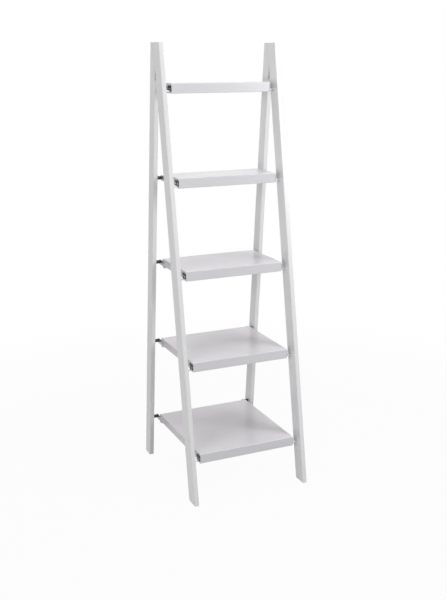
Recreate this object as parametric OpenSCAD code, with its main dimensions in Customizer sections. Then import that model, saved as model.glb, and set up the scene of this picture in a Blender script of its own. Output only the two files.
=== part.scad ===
// Folding A-frame ladder shelf: two hinged leg frames and five shelves that grow deeper
// towards the floor. X is the width, Y the depth with the front at -Y, and Z is up from the floor.

/* [Frame] */
// Width over the outer faces of the legs
overall_w = 500; // [420:5:640]
// Height from the floor to the tops of the front legs
overall_h = 1750; // [1600:5:1900]
// Depth on the floor, from the front of the front foot to the back of the rear foot
floor_depth = 570; // [520:5:620]
// Drop from the leg tops to the fork where the rear legs are hinged
fork_drop = 92; // [80:2:130]
// Backward slope of the rear legs, in degrees from upright
rear_lean = 5.5; // [4:0.5:7]

/* [Legs] */
// Thickness of the leg boards across the width
leg_t = 18; // [16:1:24]
// Depth of a front leg, measured along the floor
front_foot_d = 61; // [50:1:72]
// Depth of a rear leg, measured along the floor
rear_foot_d = 52; // [44:1:60]
// Rounding of the long edges of boards and rails
edge_r = 2; // [1:0.5:3]
// Gap left in the mitre between a rear leg and its front leg
mitre_gap = 0.3; // [0.2:0.1:0.6]

/* [Shelves] */
// Number of shelves
shelf_count = 5; // [5:1:5]
// Height of the underside of the lowest shelf
first_shelf_z = 157; // [120:1:200]
// Height that the lowest bay has more than the others
low_bay_extra = 9; // [0:1:20]
// Drop from the fork to the surface of the highest shelf
top_shelf_drop = 56; // [50:2:90]
// Height of the front and rear rails
rail_h = 38; // [34:1:44]
// Thickness of the rails
rail_t = 18; // [15:1:20]
// Thickness of the shelf panel
panel_t = 12; // [9:1:15]
// Width of the ledge in a rail that the panel lies on
ledge_w = 9; // [6:1:11]
// Height of the end rails under the panel
end_rail_h = 18; // [16:1:19]
// Free gap between a shelf end and the inner face of a leg
side_gap = 26; // [20:1:34]
// Setback of the shelf front from the front edge of the front legs
front_set = 16; // [12:1:18]
// Gap between the shelf's rear edge and the front edge of the rear legs
rear_gap = 3; // [2:0.5:6]
// Groove between the panel and the ledge wall, where the paint stops
panel_gap = 0.2; // [0.1:0.1:0.5]

/* [Shelf fittings] */
// Thickness of the steel end plates
plate_t = 3; // [2:0.5:4]
// Height of the steel end plates
plate_h = 22; // [21:1:26]
// Length of a hook plate
hook_len = 30; // [28:1:34]
// Setback of a hook plate from the shelf front
hook_set = 3; // [2:0.5:4]
// Length of a pivot plate on the shelf end
pivot_grip = 28; // [26:1:29]
// Radius of the support pins and pivot studs
pin_r = 4; // [3:0.5:5]
// Depth of the blind holes for pins and studs in the legs
pin_seat = 13; // [10:1:14]
// Free play around a support pin in its hook
hook_play = 0.3; // [0.2:0.1:0.5]
// Running clearance around pivot studs and hinge pins
run_play = 0.08; // [0.03:0.01:0.1]
// Clearance between flat faces that turn past one another
face_play = 0.3; // [0.2:0.1:0.5]
// Outer radius of the spacer tubes
spacer_r = 7; // [6:0.5:9]
// Width across flats of the lock nuts
nut_af = 13; // [12:1:15]
// Thickness of the lock nuts
nut_t = 6.5; // [5:0.5:8]
// Shank radius of the plate screws
screw_r = 2; // [1.5:0.25:2.25]
// Head radius of the plate screws
screw_head_r = 3.8; // [3:0.2:4.4]
// Length of the plate screws under the plate
screw_len = 14; // [8:1:16]

/* [Frame hinges] */
// Radius of the hinge barrel
barrel_r = 3; // [2.5:0.25:3.5]
// Radius of the hinge pin
hinge_pin_r = 1.5; // [1.25:0.25:1.75]
// Thickness of the hinge leaves
leaf_t = 1.6; // [1.2:0.2:2]
// Length of the hinge leaves below the barrel
leaf_len = 48; // [40:2:60]
// Width of the hinge barrel, across the leg thickness
leaf_w = 16; // [14:0.5:16]
// Step from the end of the barrel to the side of a leaf
leaf_inset = 0.5; // [0.3:0.1:1]
// Shank radius of the hinge screws
hinge_screw_r = 1.5; // [1:0.25:1.75]
// Head radius of the hinge screws
hinge_screw_head_r = 2.8; // [2.4:0.2:3]
// Length of the hinge screws in the wood
hinge_screw_len = 16; // [10:1:20]

/* [Feet] */
// Thickness of the floor glides
glide_t = 3; // [2:0.5:5]
// Radius of the floor glides
glide_r = 7.5; // [6:0.5:8]
// Radius of the nail in the glide
glide_nail_r = 1.2; // [1:0.1:1.6]
// Length of the nail in the leg
glide_nail_len = 15; // [10:1:20]

/* [Hidden] */
$fn = 48;
far = 200;
fork_z = overall_h - fork_drop;
floor_gap = floor_depth - front_foot_d - rear_foot_d;
front_lean = atan(floor_gap / fork_z - tan(rear_lean));
front_w = front_foot_d * cos(front_lean);
rear_w = rear_foot_d * cos(rear_lean);
front_len = overall_h / cos(front_lean);
rear_len = overall_h / cos(rear_lean);
// Distance from the floor to the fork, along the hinged edge of each leg
fork_on_front = fork_z / cos(front_lean);
fork_on_rear = fork_z / cos(rear_lean);

leg_inner_x = overall_w / 2 - leg_t;
shelf_end_x = leg_inner_x - side_gap;
plate_out_x = shelf_end_x + plate_t;
top_shelf_z = fork_z - top_shelf_drop - rail_h;
shelf_pitch = (top_shelf_z - first_shelf_z - low_bay_extra) / (shelf_count - 1);
plate_low = (rail_h - end_rail_h - panel_t);
knuckle_gap = 0.3;
knuckle_mid = leaf_w * 0.42;
hinge_x = overall_w / 2 - leg_t / 2;

// Underside height of shelf n, where shelf 1 is the highest
function shelf_z(n) = first_shelf_z + (shelf_count - n) * shelf_pitch
    + (n < shelf_count ? low_bay_extra : 0);
function mid_z(n) = shelf_z(n) + rail_h / 2;
function pin_z(n) = shelf_z(n) + plate_low;
// Edges of the legs at a height
function front_edge_y(z) = -floor_depth / 2 + z * tan(front_lean);
function rear_edge_y(z) = floor_depth / 2 - z * tan(rear_lean);
function front_mid_y(z) = front_edge_y(z) + front_foot_d / 2;
function rear_mid_y(z) = rear_edge_y(z) - rear_foot_d / 2;
// Front and back of shelf n
function shelf_front_y(n) = front_edge_y(mid_z(n)) + front_set;
function shelf_back_y(n) = rear_edge_y(mid_z(n)) - rear_foot_d - rear_gap;
function shelf_depth(n) = shelf_back_y(n) - shelf_front_y(n);

// Draws its children on the right side, or mirrored on the left side
module on_side(side) {
    if (side > 0) children();
    else mirror([1, 0, 0]) children();
}

module both_sides() {
    on_side(1) children();
    on_side(-1) children();
}

// Section of a bar with rounded corners, from the origin to w by d
module round_rect(w, d, r) {
    translate([r, 0]) square([w - 2 * r, d]);
    translate([0, r]) square([w, d - 2 * r]);
    for (x = [r, w - r], y = [r, d - r]) translate([x, y]) circle(r);
}

// Cylinder along X, from x0 to x1
module x_rod(r, x0, x1) {
    translate([x0, 0, 0]) rotate([0, 90, 0]) cylinder(r = r, h = x1 - x0);
}

// Frame of the right front leg: Z runs up its front edge, Y goes back across its width
module front_leg_frame() {
    translate([leg_inner_x, -floor_depth / 2, 0]) rotate([-front_lean, 0, 0]) children();
}

// Frame of the right rear leg: Z runs up its front edge, Y goes back across its width
module rear_leg_frame() {
    translate([leg_inner_x, floor_depth / 2 - rear_foot_d, 0]) rotate([rear_lean, 0, 0])
        children();
}

// Places its children at the hinge axis, turned into the frame of a leg
module at_fork() {
    translate([leg_inner_x, front_edge_y(fork_z) + front_foot_d, fork_z]) children();
}

// Keeps what lies between the floor glide and the leg tops
module between_floor_and_top() {
    intersection() {
        children();
        translate([0, -floor_depth, glide_t])
            cube([overall_w, 2 * floor_depth, overall_h - glide_t]);
    }
}

module blind_hole(y, z) {
    translate([leg_inner_x, y, z]) x_rod(pin_r, 0, pin_seat);
}

// Foot hole for a glide nail, at the middle of a foot
module nail_hole(y) {
    translate([leg_inner_x + leg_t / 2, y, 0])
        cylinder(r = glide_nail_r, h = glide_t + glide_nail_len);
}

// Screw holes of a hinge leaf, bored into the wood from the leaf's seat
module hinge_holes(r) {
    for (z = hinge_screw_rows()) translate([leg_t / 2, 0, z]) rotate([90, 0, 0])
        cylinder(r = r, h = hinge_screw_len);
}

function hinge_screw_rows() = [-leaf_len * 0.34, -leaf_len * 0.8];

module front_leg() {
    color("white") difference() {
        between_floor_and_top() front_leg_frame() translate([0, 0, -far])
            linear_extrude(front_len + 2 * far) round_rect(leg_t, front_w, edge_r);
        for (n = [1 : shelf_count]) blind_hole(front_mid_y(pin_z(n)), pin_z(n));
        nail_hole(front_mid_y(0));
        at_fork() x_rod(barrel_r + knuckle_gap, -1, leg_t + 1);
        at_fork() rotate([-front_lean, 0, 0]) {
            translate([-1, -leaf_t, -leaf_len]) cube([leg_t + 2, leaf_t + 1, leaf_len]);
            hinge_holes(hinge_screw_r);
        }
    }
}

module rear_leg() {
    color("white") difference() {
        between_floor_and_top() rear_leg_frame() translate([0, 0, -far])
            linear_extrude(rear_len + 2 * far) round_rect(leg_t, rear_w, edge_r);
        front_leg_frame() translate([-1, -2 * far, -far])
            cube([leg_t + 2, 2 * far + front_w + mitre_gap, front_len + 2 * far]);
        for (n = [1 : shelf_count]) blind_hole(rear_mid_y(mid_z(n)), mid_z(n));
        nail_hole(rear_mid_y(0));
        at_fork() x_rod(barrel_r + knuckle_gap, -1, leg_t + 1);
        at_fork() rotate([rear_lean, 0, 0]) {
            translate([-1, -1, -leaf_len]) cube([leg_t + 2, leaf_t + 1, leaf_len]);
            mirror([0, 1, 0]) hinge_holes(hinge_screw_r);
        }
    }
}

// Start and end of the middle knuckle within the leg thickness
function knuckle_x0() = (leg_t - knuckle_mid) / 2;
function knuckle_x1() = (leg_t + knuckle_mid) / 2;
function leaf_x0() = (leg_t - leaf_w) / 2;
function leaf_x1() = (leg_t + leaf_w) / 2;

// Plate of a hinge leaf with its countersunk holes, lying behind the hinged face
module leaf_plate() {
    difference() {
        translate([leaf_x0() + leaf_inset, -leaf_t, -leaf_len])
            cube([leaf_w - 2 * leaf_inset, leaf_t, leaf_len]);
        for (z = hinge_screw_rows()) translate([leg_t / 2, 0, z]) rotate([90, 0, 0]) {
            cylinder(r1 = hinge_screw_head_r, r2 = hinge_screw_r, h = leaf_t);
            cylinder(r = hinge_screw_r, h = leaf_t + 1);
        }
    }
}

// Turning clearance round the barrel, from x0 to x1
module barrel_room(x0, x1) {
    x_rod(barrel_r + knuckle_gap, x0, x1);
}

module hinge_front_leaf() {
    color("gainsboro") at_fork() difference() {
        union() {
            rotate([-front_lean, 0, 0]) leaf_plate();
            x_rod(barrel_r, leaf_x0(), knuckle_x0() - knuckle_gap);
            x_rod(barrel_r, knuckle_x1() + knuckle_gap, leaf_x1());
        }
        x_rod(hinge_pin_r, -1, leg_t + 1);
        barrel_room(knuckle_x0() - knuckle_gap, knuckle_x1() + knuckle_gap);
    }
}

module hinge_rear_leaf() {
    color("gainsboro") at_fork() difference() {
        union() {
            rotate([rear_lean, 0, 0]) mirror([0, 1, 0]) leaf_plate();
            x_rod(barrel_r, knuckle_x0(), knuckle_x1());
        }
        x_rod(hinge_pin_r + run_play, -1, leg_t + 1);
        barrel_room(-1, knuckle_x0());
        barrel_room(knuckle_x1(), leg_t + 1);
    }
}

module hinge_pins() {
    color("silver") both_sides() at_fork() x_rod(hinge_pin_r, leaf_x0(), leaf_x1());
}

// Countersunk screw with its head flush in a leaf
module hinge_screw() {
    rotate([90, 0, 0]) {
        cylinder(r1 = hinge_screw_head_r, r2 = hinge_screw_r, h = leaf_t);
        cylinder(r = hinge_screw_r, h = hinge_screw_len);
    }
}

module hinge_front_screws() {
    color("silver") both_sides() at_fork() rotate([-front_lean, 0, 0])
        for (z = hinge_screw_rows()) translate([leg_t / 2, 0, z]) hinge_screw();
}

module hinge_rear_screws() {
    color("silver") both_sides() at_fork() rotate([rear_lean, 0, 0]) mirror([0, 1, 0])
        for (z = hinge_screw_rows()) translate([leg_t / 2, 0, z]) hinge_screw();
}

// Headless steel pins in the front legs, with a collar against the wood
module support_pins() {
    color("silver") both_sides() for (n = [1 : shelf_count])
        translate([0, front_mid_y(pin_z(n)), pin_z(n)]) {
            x_rod(pin_r, shelf_end_x + 0.5, leg_inner_x + pin_seat);
            x_rod(pin_r + 2, leg_inner_x - 2, leg_inner_x);
        }
}

module pivot_studs() {
    color("silver") both_sides() for (n = [1 : shelf_count])
        translate([0, rear_mid_y(mid_z(n)), mid_z(n)])
            x_rod(pin_r, shelf_end_x - nut_t - 1, leg_inner_x + pin_seat);
}

module pivot_spacers() {
    color("dimgray") both_sides() for (n = [1 : shelf_count])
        translate([0, rear_mid_y(mid_z(n)), mid_z(n)]) difference() {
            x_rod(spacer_r, plate_out_x + face_play, leg_inner_x);
            x_rod(pin_r, shelf_end_x, leg_inner_x + 1);
        }
}

module pivot_lock_nuts() {
    nut_r = nut_af / 2 / cos(30);
    color("silver") both_sides() for (n = [1 : shelf_count])
        translate([shelf_end_x - face_play - nut_t, rear_mid_y(mid_z(n)), mid_z(n)])
            rotate([0, 90, 0]) difference() {
                cylinder(r = nut_r, h = nut_t, $fn = 6);
                translate([0, 0, -1]) cylinder(r = pin_r, h = nut_t + 2);
            }
}

module glide(y) {
    translate([leg_inner_x + leg_t / 2, y, 0]) {
        cylinder(r = glide_r, h = glide_t);
        cylinder(r = glide_nail_r, h = glide_t + glide_nail_len);
    }
}

module front_glides() {
    color("dimgray") both_sides() glide(front_mid_y(0));
}

module rear_glides() {
    color("dimgray") both_sides() glide(rear_mid_y(0));
}

// Moves to the front left corner of shelf n, at its underside
module at_shelf(n) {
    translate([-shelf_end_x, shelf_front_y(n), shelf_z(n)]) children();
}

// Rail with its ledge for the panel on the +Y side
module ledged_rail() {
    difference() {
        rotate([90, 0, 90]) linear_extrude(2 * shelf_end_x) round_rect(rail_t, rail_h, edge_r);
        translate([-1, rail_t - ledge_w, rail_h - panel_t])
            cube([2 * shelf_end_x + 2, ledge_w + 1, panel_t + 1]);
    }
}

module shelf_panel(n) {
    inset = rail_t - ledge_w + panel_gap;
    color("white") at_shelf(n) translate([0, inset, rail_h - panel_t])
        cube([2 * shelf_end_x, shelf_depth(n) - 2 * inset, panel_t]);
}

module shelf_front_rail(n) {
    color("white") difference() {
        at_shelf(n) ledged_rail();
        both_sides() plate_screw_holes(n);
    }
}

module shelf_rear_rail(n) {
    color("white") difference() {
        at_shelf(n) translate([0, shelf_depth(n), 0]) mirror([0, 1, 0]) ledged_rail();
        both_sides() plate_screw_holes(n);
    }
}

module shelf_end_rail(n, side) {
    color("white") on_side(side) difference() {
        translate([shelf_end_x - rail_t, shelf_front_y(n) + rail_t, shelf_z(n) + plate_low])
            cube([rail_t, shelf_depth(n) - 2 * rail_t, end_rail_h]);
        plate_screw_holes(n);
    }
}

// Places of the plate screws of shelf n, as distances behind the shelf front
function hook_screws() = [hook_set + 5, hook_set + hook_len - 5];
function pivot_screws(n) = [shelf_depth(n) - pivot_grip + 5, shelf_depth(n) - rail_t / 2];

module plate_screw_holes(n) {
    for (y = concat(hook_screws(), pivot_screws(n)))
        translate([shelf_end_x, shelf_front_y(n) + y, screw_z(n)])
            x_rod(screw_r, -screw_len, 1);
}

function screw_z(n) = shelf_z(n) + plate_low + end_rail_h / 2;

// Steel plate on a shelf end, from y0 to y1 behind the shelf front
module end_plate(n, y0, y1) {
    translate([shelf_end_x, shelf_front_y(n) + y0, shelf_z(n) + plate_low])
        rotate([90, 0, 90]) linear_extrude(plate_t) round_rect(y1 - y0, plate_h, edge_r);
}

// Countersink and hole for a plate screw
module plate_sink(n, y) {
    translate([plate_out_x, shelf_front_y(n) + y, screw_z(n)]) rotate([0, -90, 0]) {
        cylinder(r1 = screw_head_r, r2 = screw_r, h = screw_head_r - screw_r);
        cylinder(r = screw_r, h = plate_t + 1);
    }
}

// Mouth of a hook: a flat seat over the pin, open downwards and sloped to the rear
module hook_mouth(n) {
    seat = pin_r + hook_play;
    front = seat + hook_play;
    slope = 2 * (seat + 0.4) * cos(45);
    translate([shelf_end_x - 1, front_mid_y(pin_z(n)), pin_z(n)])
        rotate([90, 0, 90]) linear_extrude(plate_t + 2)
            polygon([[-front, -1], [-front, seat], [slope - seat, seat], [slope + 1, -1]]);
}

module shelf_hook_plates(n) {
    color("dimgray") both_sides() difference() {
        end_plate(n, hook_set, hook_set + hook_len);
        hook_mouth(n);
        for (y = hook_screws()) plate_sink(n, y);
    }
}

// Pivot plate: a bar on the shelf end with a round eye on the stud
module shelf_pivot_plates(n) {
    back = shelf_depth(n);
    eye_y = rear_mid_y(mid_z(n)) - shelf_front_y(n);
    color("silver") both_sides() difference() {
        union() {
            end_plate(n, back - pivot_grip, eye_y);
            translate([shelf_end_x, shelf_front_y(n) + eye_y, mid_z(n)])
                x_rod(plate_h / 2 - 1, 0, plate_t);
        }
        translate([shelf_end_x, shelf_front_y(n) + eye_y, mid_z(n)])
            x_rod(pin_r + run_play, -1, plate_t + 1);
        for (y = pivot_screws(n)) plate_sink(n, y);
    }
}

module shelf_screws(n) {
    head_h = screw_head_r - screw_r;
    color("silver") both_sides() for (y = concat(hook_screws(), pivot_screws(n)))
        translate([plate_out_x, shelf_front_y(n) + y, screw_z(n)]) rotate([0, -90, 0]) {
            cylinder(r1 = screw_head_r, r2 = screw_r, h = head_h);
            cylinder(r = screw_r, h = plate_t + screw_len);
        }
}

on_side(-1) front_leg();  // front_leg_left
on_side(1) front_leg();  // front_leg_right
on_side(-1) rear_leg();  // rear_leg_left
on_side(1) rear_leg();  // rear_leg_right
on_side(-1) hinge_front_leaf();  // hinge_front_leaf_left
on_side(1) hinge_front_leaf();  // hinge_front_leaf_right
on_side(-1) hinge_rear_leaf();  // hinge_rear_leaf_left
on_side(1) hinge_rear_leaf();  // hinge_rear_leaf_right
hinge_pins();
hinge_front_screws();
hinge_rear_screws();
support_pins();
pivot_studs();
pivot_spacers();
pivot_lock_nuts();
front_glides();
rear_glides();
for (n = [1 : shelf_count]) {
    shelf_panel(n);
    shelf_front_rail(n);
    shelf_rear_rail(n);
    shelf_end_rail(n, -1);
    shelf_end_rail(n, 1);
    shelf_hook_plates(n);
    shelf_pivot_plates(n);
    shelf_screws(n);
}
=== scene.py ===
"""Looks for the leaning shelf: white lacquered board, small steel and nylon fittings, a plain pale studio."""

from math import cos, pi, radians, sin

import bmesh
import bpy
import numpy as np
from mathutils import Matrix, Vector
from mathutils.geometry import tessellate_polygon


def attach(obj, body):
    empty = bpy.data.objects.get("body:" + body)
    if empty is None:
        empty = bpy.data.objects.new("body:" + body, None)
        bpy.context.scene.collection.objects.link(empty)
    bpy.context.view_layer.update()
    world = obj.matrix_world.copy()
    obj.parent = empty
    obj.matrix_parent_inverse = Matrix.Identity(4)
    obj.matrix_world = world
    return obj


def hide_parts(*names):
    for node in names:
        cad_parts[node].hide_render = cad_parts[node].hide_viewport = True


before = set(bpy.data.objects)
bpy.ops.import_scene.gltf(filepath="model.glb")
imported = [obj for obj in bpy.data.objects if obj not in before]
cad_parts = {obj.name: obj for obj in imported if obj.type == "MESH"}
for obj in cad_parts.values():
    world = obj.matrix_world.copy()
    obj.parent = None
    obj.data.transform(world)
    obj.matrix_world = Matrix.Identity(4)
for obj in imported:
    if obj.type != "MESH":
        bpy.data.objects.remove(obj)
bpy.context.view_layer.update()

# The photograph's camera, in metres and degrees, with its focal length in pixels of the 600 pixel side
CAMERA_AT = (-1.448, -3.192, 1.716)
CAMERA_AZIMUTH = -24.38
CAMERA_PITCH = 15.55
FOCAL_PX = 892.5
LONG_SIDE_PX = 600
SENSOR_MM = 36

# Colours, linear
WHITE_PANEL = (0.782, 0.752, 0.790, 1)
WHITE_RAIL = (0.776, 0.767, 0.798, 1)
# The legs' white is lighter than the shelves', partly as painted light: it stands in for the light from above
# that the leaning legs catch
WHITE_LEG = (0.900, 0.897, 0.905, 1)
# Darker warm white for worn edges, and for the painted shade in inner corners
WORN_AND_SHADED_WHITE = (0.62, 0.61, 0.60, 1)
# Black of the hook plates, partly painted shade in the gaps beside the front legs
STEEL_BLACK = (0.030, 0.030, 0.032, 1)
STEEL_BLACK_WORN = (0.085, 0.085, 0.088, 1)
ZINC = (0.70, 0.71, 0.73, 1)
ZINC_DULL = (0.55, 0.56, 0.58, 1)
NICKEL = (0.74, 0.72, 0.69, 1)
NICKEL_DULL = (0.60, 0.58, 0.55, 1)
# Black of the spacers, partly painted shade in the gaps beside the rear legs
NYLON_BLACK = (0.040, 0.040, 0.042, 1)
NYLON_GREY = (0.062, 0.062, 0.064, 1)
NYLON_WHITE = (0.72, 0.72, 0.70, 1)
NYLON_CREAM = (0.66, 0.65, 0.61, 1)
RUBBER_GREY = (0.070, 0.070, 0.075, 1)
RUBBER_DARK = (0.050, 0.050, 0.052, 1)
FLOOR_PALE = (0.45, 0.45, 0.45, 1)
PLAIN_WHITE = (1, 1, 1, 1)

# Boards by the words in their nodes' names: colour, axis of the grain, lowest and highest roughness, seed.
# No range crosses 0.27, where the render's denoiser shows a line.
BOARDS = (("panel", WHITE_PANEL, "X", 0.17, 0.26, 1.7),
          ("end_rail", WHITE_RAIL, "Y", 0.29, 0.37, 5.1),
          ("front_rail", WHITE_RAIL, "X", 0.29, 0.36, 9.3),
          ("rear_rail", WHITE_RAIL, "X", 0.29, 0.36, 12.9),
          ("front_leg", WHITE_LEG, "Z", 0.29, 0.36, 17.2),
          ("rear_leg", WHITE_LEG, "Z", 0.29, 0.37, 23.6))
# Features of the grain in a metre, along it and across it
ALONG_GRAIN = 4
ACROSS_GRAIN = 130

# Bevel widths in metres for the CAD pieces that stay and have sharp edges, by the words in a node's name
ROUNDED = (("panel", 0.0006), ("end_rail", 0.0006), ("plates", 0.0004), ("leaf", 0.0002),
           ("hinge_pins", 0.0004), ("spacers", 0.0005))
# Corners that lie closer than this, in metres, are one corner, and those within this height lie level
SAME_CORNER = 1e-6
SAME_LEVEL = 1e-5

# Sides of the rings that turned pieces are made of
SIDES = 48
# Radii of head and shank in metres, as in the CAD screws
PLATE_SCREW = (0.0038, 0.0020)
LEAF_SCREW = (0.0028, 0.0015)
# Root radius of a cut thread as a share of its outer radius
THREAD_ROOT = 0.86
# Height of a nut's chamfer as a share of its width, for a chamfer of 30 degrees
NUT_CHAMFER = 0.58
SHELVES = 5

# Strength of the fill light that comes from all sides
FILL = 0.275
# Soft boxes: name, place and aim in metres, width in metres, watts, and whether gloss mirrors them
SOFT_BOXES = (("overhead", (0, 0, 3.6), (0, 0, 0), 2.4, 35, True),
              ("front_left", (-3.2, -2.4, 1.6), (0, 0, 0.9), 2.0, 47, True),
              ("front_right", (1.5, -1.6, 1.9), (0, -0.1, 1.1), 1.0, 26, True),
              ("back", (0.3, 2.6, 1.8), (0, 0, 1.0), 1.8, 9, False))
FLOOR_WIDTH = 60
# Share of plain white in the floor's looks beside the object
FLOOR_WHITE = 0.96
# Distances from the object's middle in metres between which the floor turns plain white
FLOOR_FADE = (1.0, 2.6)


class Nodes:
    """A node tree, with short calls that add and link its nodes."""

    def __init__(self, tree):
        self.tree = tree

    def add(self, kind, **settings):
        node = self.tree.nodes.new(kind)
        for name, value in settings.items():
            setattr(node, name, value)
        return node

    def link(self, output, socket):
        self.tree.links.new(output, socket)

    def math(self, operation, a, b):
        """The result of a math operation on two outputs."""
        node = self.add("ShaderNodeMath", operation=operation)
        self.link(a, node.inputs[0])
        self.link(b, node.inputs[1])
        return node.outputs["Value"]

    def spread(self, factor, low, high, start=0.3, end=0.7):
        """Maps a factor smoothly, from start to end, to the range from low to high."""
        spread = self.add("ShaderNodeMapRange", interpolation_type="SMOOTHSTEP")
        for socket, value in (("From Min", start), ("From Max", end), ("To Min", low), ("To Max", high)):
            spread.inputs[socket].default_value = value
        self.link(factor, spread.inputs["Value"])
        return spread.outputs["Result"]

    def seen_directly(self):
        """1 for camera, glossy and transmission rays, and 0 for the rest."""
        path = self.add("ShaderNodeLightPath")
        seen = path.outputs["Is Camera Ray"]
        for ray in ("Is Glossy Ray", "Is Transmission Ray"):
            seen = self.math("MAXIMUM", seen, path.outputs[ray])
        return seen


class Recipe(Nodes):
    """A material's nodes round its shader."""

    def __init__(self, name, **sockets):
        self.material = bpy.data.materials.new(name)
        self.material.use_nodes = True
        super().__init__(self.material.node_tree)
        self.shader = self.tree.nodes["Principled BSDF"]
        for socket, value in sockets.items():
            self.shader.inputs[socket.replace("_", " ")].default_value = value
        self.place = self.add("ShaderNodeTexCoord").outputs["Object"]

    def noise(self, scale, detail, stretch=(1, 1, 1), seed=0.0):
        """Noise at a scale in features per metre, drawn out along the axes whose stretch is small."""
        moved = self.add("ShaderNodeMapping")
        moved.inputs["Scale"].default_value = stretch
        moved.inputs["Location"].default_value = (seed, seed * 0.7, seed * 1.3)
        self.link(self.place, moved.inputs["Vector"])
        noise = self.add("ShaderNodeTexNoise")
        noise.inputs["Scale"].default_value = scale
        noise.inputs["Detail"].default_value = detail
        self.link(moved.outputs["Vector"], noise.inputs["Vector"])
        return noise.outputs["Fac"]

    def mix(self, factor, a, b):
        """A colour between a and b, each a colour or another node's output."""
        mix = self.add("ShaderNodeMix", data_type="RGBA")
        self.link(factor, mix.inputs["Factor"])
        colour_a, colour_b = (socket for socket in mix.inputs if socket.type == "RGBA")
        for value, socket in ((a, colour_a), (b, colour_b)):
            if isinstance(value, tuple):
                socket.default_value = value
            else:
                self.link(value, socket)
        return next(output for output in mix.outputs if output.type == "RGBA")

    def edges(self, radius):
        """Near 1 within radius metres of a sharp edge, and 0 on flat faces."""
        rounded = self.add("ShaderNodeBevel", samples=4)
        rounded.inputs["Radius"].default_value = radius
        flat = self.add("ShaderNodeNewGeometry")
        dot = self.add("ShaderNodeVectorMath", operation="DOT_PRODUCT")
        self.link(rounded.outputs["Normal"], dot.inputs[0])
        self.link(flat.outputs["Normal"], dot.inputs[1])
        return self.spread(dot.outputs["Value"], 1.0, 0.0, start=0.8, end=0.99)

    def corners(self, reach):
        """Near 1 within reach metres of an inner corner, where ambient shade falls, and 0 on open faces. It
        masks painted shade.
        """
        near = self.add("ShaderNodeAmbientOcclusion", samples=4, only_local=False)
        near.inputs["Distance"].default_value = reach
        return self.spread(near.outputs["AO"], 1.0, 0.0, start=0.25, end=0.85)

    def bump(self, *heights):
        """Bumps the surface by (height, metres) pairs, each over the one before."""
        below = None
        for height, metres in heights:
            bump = self.add("ShaderNodeBump")
            bump.inputs["Distance"].default_value = metres
            self.link(height, bump.inputs["Height"])
            if below:
                self.link(below, bump.inputs["Normal"])
            below = bump.outputs["Normal"]
        self.link(below, self.shader.inputs["Normal"])

    def paint(self, colour):
        self.link(colour, self.shader.inputs["Base Color"])

    def roughen(self, factor):
        self.link(factor, self.shader.inputs["Roughness"])


def darker(colour, share):
    """A colour at a share of its brightness."""
    return tuple(value * share for value in colour[:3]) + (1,)


def lacquer(name, white, grain, smooth, rough, seed):
    """Sprayed satin white lacquer. The board's faint grain runs along the axis that grain names."""
    look = Recipe(name, Coat_Weight=0.25, Coat_Roughness=0.18)
    stretch = tuple(ALONG_GRAIN if axis == grain else ACROSS_GRAIN for axis in "XYZ")
    drift = look.noise(scale=2.5, detail=3, seed=seed)
    fibre = look.noise(scale=1.0, detail=4, stretch=stretch, seed=seed)
    peel = look.noise(scale=320, detail=2, seed=seed)
    dust = look.noise(scale=1500, detail=1, seed=seed)
    tone = look.mix(look.spread(drift, 0, 1), white, darker(white, 0.965))
    tone = look.mix(look.spread(fibre, 0, 0.35, start=0.45, end=0.75), tone, darker(white, 0.94))
    worn = look.math("MULTIPLY", look.edges(radius=0.0025), look.spread(drift, 0.10, 0.45))
    tone = look.mix(worn, tone, WORN_AND_SHADED_WHITE)
    # Painted shade: the lacquer darkens towards inner corners, where ambient shade falls
    painted_corner_shade = look.spread(look.corners(reach=0.02), 0, 0.30, start=0, end=1)
    look.paint(look.mix(painted_corner_shade, tone, WORN_AND_SHADED_WHITE))
    look.roughen(look.spread(drift, smooth, rough))
    look.bump((fibre, 0.00012), (peel, 0.00006), (dust, 0.00001))
    return look.material


def black_steel():
    """Powder-coated steel plate, worn a little lighter on its cut edges. Its black is partly painted shade,
    for the deep shade in the narrow gap between a front leg and a shelf's end.
    """
    look = Recipe("black_coat_and_gap_shade")
    texture = look.noise(scale=1400, detail=3)
    drift = look.noise(scale=30, detail=3)
    worn = look.math("MULTIPLY", look.edges(radius=0.0008), look.spread(drift, 0.1, 0.8))
    look.paint(look.mix(worn, STEEL_BLACK, STEEL_BLACK_WORN))
    look.roughen(look.spread(drift, 0.42, 0.58))
    look.bump((texture, 0.00008))
    return look.material


def plated_steel(name, bright, dull, roughness, turned):
    """Plated steel with fine marks: turned marks run round X, and rolled marks along Z."""
    look = Recipe(name, Metallic=1.0)
    cloud = look.noise(scale=60, detail=4)
    marks = look.noise(scale=1.0, detail=3, stretch=(2500, 60, 60) if turned else (1500, 1500, 40))
    look.paint(look.mix(look.spread(cloud, 0, 1), bright, dull))
    look.roughen(look.spread(marks, roughness - 0.08, roughness + 0.12))
    look.bump((marks, 0.00002))
    return look.material


def moulded(name, colour, other, roughness, grain_metres):
    """Moulded nylon or rubber, clouded between two colours, with a fine matt skin."""
    look = Recipe(name)
    grain = look.noise(scale=1800, detail=2)
    cloud = look.noise(scale=90, detail=3)
    look.paint(look.mix(look.spread(cloud, 0, 1), colour, other))
    look.roughen(look.spread(grain, roughness - 0.06, roughness + 0.06))
    look.bump((grain, grain_metres))
    return look.material


def soften(node, width):
    """Rounds a CAD node's sharp edges by modifiers, with its mesh left as it is."""
    weld = node.modifiers.new("join", "WELD")
    weld.merge_threshold = SAME_CORNER
    bevel = node.modifiers.new("soften", "BEVEL")
    bevel.width = width
    bevel.segments = 2
    bevel.limit_method = "ANGLE"
    bevel.angle_limit = radians(40)
    bevel.use_clamp_overlap = True
    bevel.harden_normals = True


def first_match(name, pairs):
    """What stands beside the first word that a name holds, or nothing."""
    return next((value for word, value in pairs if word in name), None)


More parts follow.
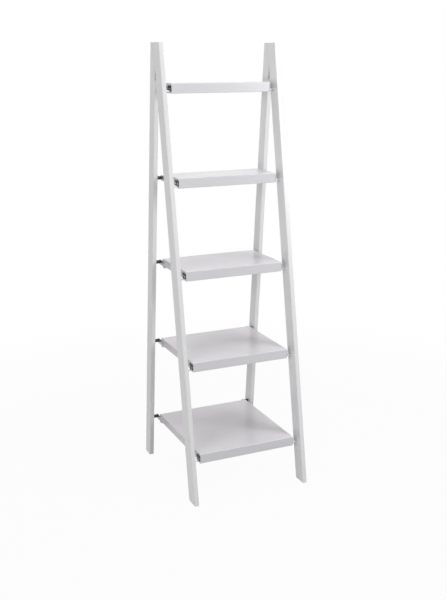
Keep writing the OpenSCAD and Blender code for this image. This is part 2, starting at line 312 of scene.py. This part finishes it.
def dress_nodes(zinc):
    """Gives every CAD node its material, and softens those with sharp edges."""
    finishes = [(word, lacquer(f"lacquer_{word}", *look)) for word, *look in BOARDS]
    finishes += [
        # The hook plates' black is partly painted shade in the gaps beside the front legs
        ("hook_plates", black_steel()),
        ("pivot_plates", plated_steel("rolled_zinc", ZINC, ZINC_DULL, roughness=0.34, turned=False)),
        ("leaf", plated_steel("satin_nickel", NICKEL, NICKEL_DULL, roughness=0.30, turned=False)),
        # The spacers' black is partly painted shade in the gaps beside the rear legs
        ("spacers", moulded("black_nylon", NYLON_BLACK, NYLON_GREY, roughness=0.45, grain_metres=0.00002))]
    for name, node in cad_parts.items():
        node.data.materials.clear()
        node.data.materials.append(first_match(name, finishes) or zinc)
        width = first_match(name, ROUNDED)
        if width:
            soften(node, width)


def solids_of(name):
    """The corners of each separate solid of a CAD node, in order of their middles."""
    mesh = bmesh.new()
    mesh.from_mesh(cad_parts[name].data)
    bmesh.ops.remove_doubles(mesh, verts=mesh.verts, dist=SAME_CORNER)
    mesh.verts.ensure_lookup_table()
    solids, seen = [], set()
    for start in mesh.verts:
        if start.index in seen:
            continue
        seen.add(start.index)
        found, ahead = [], [start]
        while ahead:
            corner = ahead.pop()
            found.append(corner.co[:])
            for edge in corner.link_edges:
                other = edge.other_vert(corner)
                if other.index not in seen:
                    seen.add(other.index)
                    ahead.append(other)
        solids.append(np.array(found))
    mesh.free()
    return sorted(solids, key=lambda corners: tuple(corners.mean(0).round(4)))


def seat(corners, outward):
    """The frame of a turned solid: Z along outward, with its origin where the solid ends on that side."""
    turned = Vector(outward).normalized().to_track_quat("Z", "Y").to_matrix()
    own = corners @ np.array(turned)
    low, high = own.min(0), own.max(0)
    end = Vector(((low[0] + high[0]) / 2, (low[1] + high[1]) / 2, high[2]))
    return Matrix.Translation(turned @ end) @ turned.to_4x4()


def inward(corners):
    """The direction along X from a solid to the middle of the object."""
    return (-1, 0, 0) if corners[:, 0].mean() > 0 else (1, 0, 0)


def screw_axis(corners):
    """The direction along a screw, from its point out to its wider head."""
    middle = corners.mean(0)
    axis = np.linalg.svd(corners - middle)[2][0]
    along = (corners - middle) @ axis
    aside = np.linalg.norm(corners - middle - np.outer(along, axis), axis=1)
    return axis if aside[along > 0].max() > aside[along < 0].max() else -axis


def ring(radius, height):
    """Points round Z. The radius and the height are numbers, or functions of the angle."""
    points = []
    for i in range(SIDES):
        angle = 2 * pi * i / SIDES
        r = radius(angle) if callable(radius) else radius
        z = height(angle) if callable(height) else height
        points.append(Vector((r * cos(angle), r * sin(angle), z)))
    return points


def skin(mesh, place, rings, looped=False):
    """Joins rings, each of SIDES points or one point, into a skin set down at a place."""
    made = [[mesh.verts.new(place @ point) for point in points] for points in rings]
    if looped:
        made.append(made[0])
    for a, b in zip(made, made[1:]):
        for i in range(SIDES):
            k = (i + 1) % SIDES
            corners = [a[i % len(a)], a[k % len(a)], b[k % len(b)], b[i % len(b)]]
            # Beside a ring of one point, two of the four corners are the same
            mesh.faces.new(dict.fromkeys(corners))


def fill(mesh, place, outlines):
    """Fills the flat area between an outline and the outline of a hole in it."""
    points = [point for outline in outlines for point in outline]
    made = [mesh.verts.new(place @ point) for point in points]
    for triangle in tessellate_polygon(outlines):
        mesh.faces.new([made[i] for i in triangle])


def cross(arm, half_width, height):
    """Outline of a cross with four equal arms."""
    quarter = [(arm, half_width), (half_width, half_width), (half_width, arm)]
    points = []
    for _ in range(4):
        points += [Vector((x, y, height)) for x, y in quarter]
        quarter = [(-y, x) for x, y in quarter]
    return points


def sink(mesh, place, mouth, floor):
    """Sinks one cross outline down to another. The floor is a square in the middle and one in each arm."""
    for square in ((1, 4, 7, 10), (11, 0, 1, 10), (1, 2, 3, 4), (4, 5, 6, 7), (7, 8, 9, 10)):
        mesh.faces.new([mesh.verts.new(place @ floor[i]) for i in square])
    for i in range(len(mouth)):
        k = (i + 1) % len(mouth)
        mesh.faces.new([mesh.verts.new(place @ point) for point in (mouth[i], mouth[k], floor[k], floor[i])])


def thread(radius, top, bottom, pitch):
    """Rings of a cut thread between two heights, from the top down."""
    root = radius * THREAD_ROOT
    rings = []
    z = top
    while z - pitch > bottom:
        rings += [ring(root, z), ring(radius, z - pitch / 2)]
        z -= pitch
    return rings + [ring(root, z)]


def countersunk_screw(mesh, place, radii, length):
    """A screw with its flat head at height 0, a cross recess and a threaded shank."""
    head_r, shank_r = radii
    head_h = head_r - shank_r
    lip = head_r * 0.05
    tip_r = shank_r * 0.3
    top = ring(head_r - lip, 0)
    mouth = cross(arm=head_r * 0.60, half_width=head_r * 0.15, height=0)
    floor = cross(arm=head_r * 0.34, half_width=head_r * 0.09, height=-head_h * 0.85)
    fill(mesh, place, [top, mouth])
    sink(mesh, place, mouth, floor)
    cut = thread(shank_r, top=-head_h - shank_r * 0.2, bottom=-length + shank_r * 1.5, pitch=shank_r * 0.7)
    point = [ring(tip_r, tip_r - length), [Vector((0, 0, -length))]]
    skin(mesh, place, [top, ring(head_r, -lip), ring(shank_r, -head_h)] + cut + point)


def hexagon(flats):
    """Radius of a hexagon as a function of the angle, with the middle of a flat at angle 0."""
    def radius(angle):
        return flats / 2 / cos((angle + pi / 6) % (pi / 3) - pi / 6)
    return radius


def lock_nut(mesh, collars, place, flats, bore, thick):
    """A chamfered nut whose collar, at height 0, holds a nylon ring. The bore is a radius."""
    corner = hexagon(flats)
    face = flats / 2 * 0.96
    collar = flats / 2 * 0.86
    shoulder = -thick * 0.27
    ease = thick * 0.06
    groove_r, groove_z = bore * 1.22, -thick * 0.2

    def chamfer(angle):
        return (corner(angle) - face) * NUT_CHAMFER

    def lower_edge(angle):
        return -thick + chamfer(angle)

    def upper_edge(angle):
        return shoulder - chamfer(angle)

    skin(mesh, place, [
        ring(bore, -thick), ring(face, -thick), ring(corner, lower_edge),
        ring(corner, upper_edge), ring(face, shoulder), ring(collar, shoulder),
        ring(collar, -ease), ring(collar - ease, 0), ring(groove_r, 0),
        ring(groove_r, groove_z), ring(bore, groove_z)], looped=True)
    nylon_r, nylon_bore, nylon_z = bore * 1.21, bore * 1.005, -thick * 0.19
    skin(collars, place, [
        ring(nylon_r, nylon_z), ring(nylon_r, -thick * 0.05), ring(bore * 1.12, -thick * 0.02),
        ring(nylon_bore, -ease), ring(nylon_bore, nylon_z)], looped=True)


def finished(mesh, name, body, slot, material, *nodes):
    """Turns a mesh into a piece that rides on a body, in place of the CAD nodes that are named."""
    bmesh.ops.remove_doubles(mesh, verts=mesh.verts, dist=SAME_CORNER)
    bmesh.ops.recalc_face_normals(mesh, faces=mesh.faces)
    data = bpy.data.meshes.new(name)
    mesh.to_mesh(data)
    mesh.free()
    for face in data.polygons:
        face.use_smooth = True
    data.set_sharp_from_angle(angle=radians(38))
    data.materials.append(material)
    piece = bpy.data.objects.new(name, data)
    bpy.context.scene.collection.objects.link(piece)
    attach(piece, body)
    if nodes:
        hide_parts(*nodes)
    return piece


def span(corners, axis=0):
    """How far a solid reaches along an axis."""
    return float(np.ptp(corners[:, axis]))


def screws(name, body, node, radii, zinc):
    """Countersunk screws in place of the plain rods of a CAD node."""
    mesh = bmesh.new()
    for corners in solids_of(node):
        place = seat(corners, screw_axis(corners))
        length = float(np.ptp(corners @ np.array(place.to_3x3().col[2])))
        countersunk_screw(mesh, place, radii, length)
    finished(mesh, name, body, "zinc_steel", zinc, node)


def lock_nuts(zinc, nylon):
    """Lock nuts on the studs, with their collars inward, and their nylon rings."""
    mesh, collars = bmesh.new(), bmesh.new()
    stud_r = span(solids_of("pivot_studs")[0], axis=1) / 2
    for corners in solids_of("pivot_lock_nuts"):
        place = seat(corners, inward(corners))
        lock_nut(mesh, collars, place, flats=span(corners, axis=1), bore=stud_r, thick=span(corners))
    finished(mesh, "chamfered_lock_nuts", "rear_frame", "zinc_steel", zinc, "pivot_lock_nuts")
    finished(collars, "lock_nut_rings", "rear_frame", "black_nylon", nylon)


def studs(zinc):
    """Studs with a cut thread under the nut and chamfered ends."""
    mesh = bmesh.new()
    nut = span(solids_of("pivot_lock_nuts")[0])
    for corners in solids_of("pivot_studs"):
        radius, length = span(corners, axis=1) / 2, span(corners)
        chamfer, threaded = radius * 0.15, nut * 1.3
        head = [[Vector((0, 0, 0))], ring(radius - chamfer, 0)]
        cut = thread(radius, top=-chamfer, bottom=-threaded, pitch=nut * 0.19)
        plain = [ring(radius, -threaded - chamfer), ring(radius, chamfer - length)]
        tail = [ring(radius - chamfer, -length), [Vector((0, 0, -length))]]
        skin(mesh, seat(corners, inward(corners)), head + cut + plain + tail)
    finished(mesh, "threaded_studs", "rear_frame", "zinc_steel", zinc, "pivot_studs")


def pins(zinc):
    """Support pins with chamfered ends and a filleted collar against the leg."""
    mesh = bmesh.new()
    for corners in solids_of("support_pins"):
        along = np.abs(corners[:, 0])
        aside = corners[:, 1:] - (corners[:, 1:].min(0) + corners[:, 1:].max(0)) / 2
        reach = np.linalg.norm(aside, axis=1)
        radius, collar = reach[along.argmax()], reach.max()
        wide = along[reach > (radius + collar) / 2]
        near, far, length = wide.min() - along.min(), wide.max() - along.min(), span(corners)
        ease = radius * 0.12
        skin(mesh, seat(corners, inward(corners)), [
            [Vector((0, 0, 0))], ring(radius - 2 * ease, 0), ring(radius, -ease),
            ring(radius, ease - near), ring(radius + ease, -near), ring(collar - ease, -near),
            ring(collar, -near - ease), ring(collar, -far), ring(radius, -far),
            ring(radius, ease - length), ring(radius - ease, -length), [Vector((0, 0, -length))]])
    finished(mesh, "turned_support_pins", "front_frame", "zinc_steel", zinc, "support_pins")


def glides(name, body, node, rubber):
    """Nail-on glides with a domed edge and a hollow under the middle."""
    mesh = bmesh.new()
    for corners in solids_of(node):
        height = corners[:, 2]
        radius, tall = span(corners) / 2, span(corners, axis=2)
        reach = np.linalg.norm(corners[:, :2] - corners[:, :2].mean(0), axis=1)
        thick = float(height[reach > radius * 0.9].max() - height.min())
        nail = span(corners[height > height.max() - SAME_LEVEL]) / 2
        skin(mesh, seat(corners, (0, 0, -1)), [
            [Vector((0, 0, -thick * 0.12))], ring(radius * 0.28, -thick * 0.12), ring(radius * 0.34, 0),
            ring(radius * 0.82, 0), ring(radius * 0.95, -thick * 0.12), ring(radius, -thick * 0.38),
            ring(radius, -thick), ring(nail, -thick), ring(nail, -tall), [Vector((0, 0, -tall))]])
    finished(mesh, name, body, "foot_rubber", rubber, node)


def fittings(zinc):
    """The screws, nuts, studs, support pins and glides, in place of their plain CAD solids."""
    nylon = moulded("white_nylon", NYLON_WHITE, NYLON_CREAM, roughness=0.45, grain_metres=0.00002)
    rubber = moulded("grey_rubber", RUBBER_GREY, RUBBER_DARK, roughness=0.7, grain_metres=0.00006)
    for n in range(1, SHELVES + 1):
        screws(f"shelf_{n}_plate_screws", f"shelf_{n}", f"shelf_{n}_screws", PLATE_SCREW, zinc)
    screws("front_leaf_screws", "front_frame", "hinge_front_screws", LEAF_SCREW, zinc)
    screws("rear_leaf_screws", "rear_frame", "hinge_rear_screws", LEAF_SCREW, zinc)
    lock_nuts(zinc, nylon)
    studs(zinc)
    pins(zinc)
    glides("front_domed_glides", "front_frame", "front_glides", rubber)
    glides("rear_domed_glides", "rear_frame", "rear_glides", rubber)


def studio_floor():
    """A pale floor that keeps the object's shadow, and turns plain white at a distance where it is seen."""
    bpy.ops.mesh.primitive_plane_add(size=FLOOR_WIDTH, location=(0, 0, 0))
    floor = bpy.context.object
    floor.name = "studio_floor"
    material = bpy.data.materials.new("pale_floor")
    material.use_nodes = True
    nodes = Nodes(material.node_tree)
    nodes.tree.nodes.clear()
    diffuse = nodes.add("ShaderNodeBsdfDiffuse")
    diffuse.inputs["Color"].default_value = FLOOR_PALE
    white = nodes.add("ShaderNodeEmission")
    white.inputs["Strength"].default_value = 1.0
    distance = nodes.add("ShaderNodeVectorMath", operation="LENGTH")
    nodes.link(nodes.add("ShaderNodeTexCoord").outputs["Object"], distance.inputs[0])
    near, far = FLOOR_FADE
    share = nodes.spread(distance.outputs["Value"], FLOOR_WHITE, 1.0, start=near, end=far)
    mix = nodes.add("ShaderNodeMixShader")
    nodes.link(nodes.math("MULTIPLY", nodes.seen_directly(), share), mix.inputs["Fac"])
    nodes.link(diffuse.outputs["BSDF"], mix.inputs[1])
    nodes.link(white.outputs["Emission"], mix.inputs[2])
    nodes.link(mix.outputs["Shader"], nodes.add("ShaderNodeOutputMaterial").inputs["Surface"])
    floor.data.materials.append(material)


def studio_world():
    """White to the eye and in reflections, and a soft fill for the rest."""
    world = bpy.data.worlds.new("studio")
    world.use_nodes = True
    bpy.context.scene.world = world
    nodes = Nodes(world.node_tree)
    background = nodes.tree.nodes["Background"]
    background.inputs["Color"].default_value = PLAIN_WHITE
    strength = nodes.spread(nodes.seen_directly(), FILL, 1.0, start=0, end=1)
    nodes.link(strength, background.inputs["Strength"])


def soft_box(name, at, aim, width, watts, mirrored):
    """A square area lamp at a point, turned to face another, and mirrored in gloss or not."""
    lamp = bpy.data.lights.new(name, "AREA")
    lamp.shape = "SQUARE"
    lamp.size = width
    lamp.energy = watts
    box = bpy.data.objects.new(name, lamp)
    box.location = at
    box.rotation_euler = (Vector(aim) - Vector(at)).to_track_quat("-Z", "Y").to_euler()
    box.visible_camera = False
    box.visible_glossy = mirrored
    bpy.context.scene.collection.objects.link(box)


def photograph_camera():
    """The camera as the photograph's edges place it."""
    data = bpy.data.cameras.new("camera")
    data.sensor_width = SENSOR_MM
    data.lens = FOCAL_PX * SENSOR_MM / LONG_SIDE_PX
    camera = bpy.data.objects.new("camera", data)
    camera.location = CAMERA_AT
    camera.rotation_euler = (pi / 2 - radians(CAMERA_PITCH), 0, radians(CAMERA_AZIMUTH))
    bpy.context.scene.collection.objects.link(camera)
    bpy.context.scene.camera = camera


photograph_camera()
bright_zinc = plated_steel("bright_zinc", ZINC, ZINC_DULL, roughness=0.30, turned=True)
dress_nodes(bright_zinc)
fittings(bright_zinc)
studio_floor()
studio_world()
for box in SOFT_BOXES:
    soft_box(*box)
bpy.context.scene.view_settings.view_transform = "Standard"
